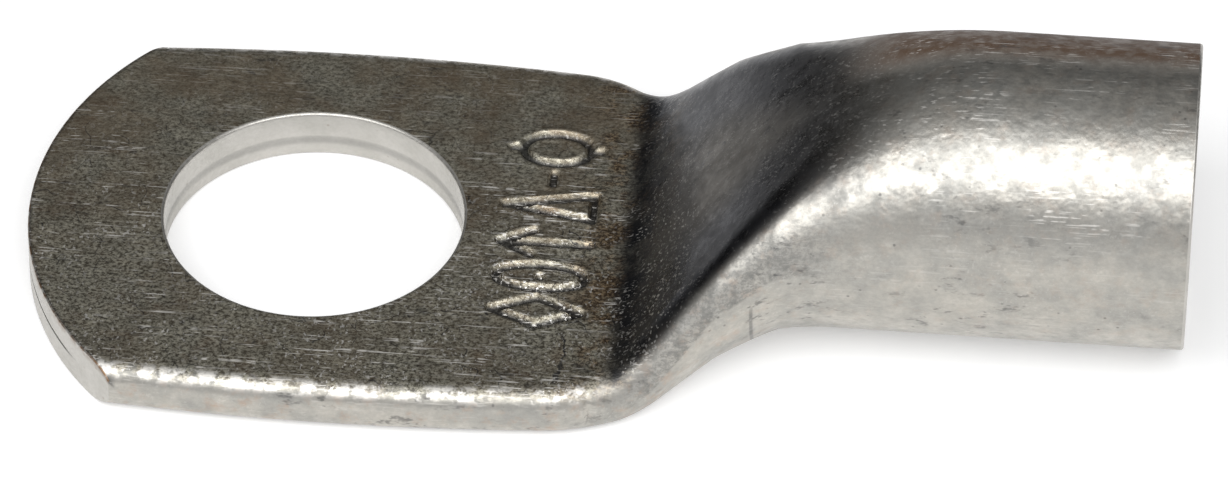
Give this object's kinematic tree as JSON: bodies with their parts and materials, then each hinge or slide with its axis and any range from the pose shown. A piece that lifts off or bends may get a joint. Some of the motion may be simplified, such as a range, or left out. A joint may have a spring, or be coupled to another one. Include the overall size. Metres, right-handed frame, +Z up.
{
  "type": "copper cable lug",
  "caption": "Tinned copper tube lug with a flat palm drilled for a stud and a round barrel that is crimped onto a stranded conductor.",
  "frame": {"origin": "on the stud hole's axis, in the plane of the palm's underside", "axes": "+X along the lug towards the barrel's mouth, +Z up out of the palm's top, +Y across the palm"},
  "size_m": [0.0325, 0.0144, 0.0085],
  "materials": {
    "tinned_copper": "dull tin plating over copper, tarnished and lightly scratched"
  },
  "bodies": {
    "root": {"lug": "tinned_copper"}
  },
  "joints": []
}
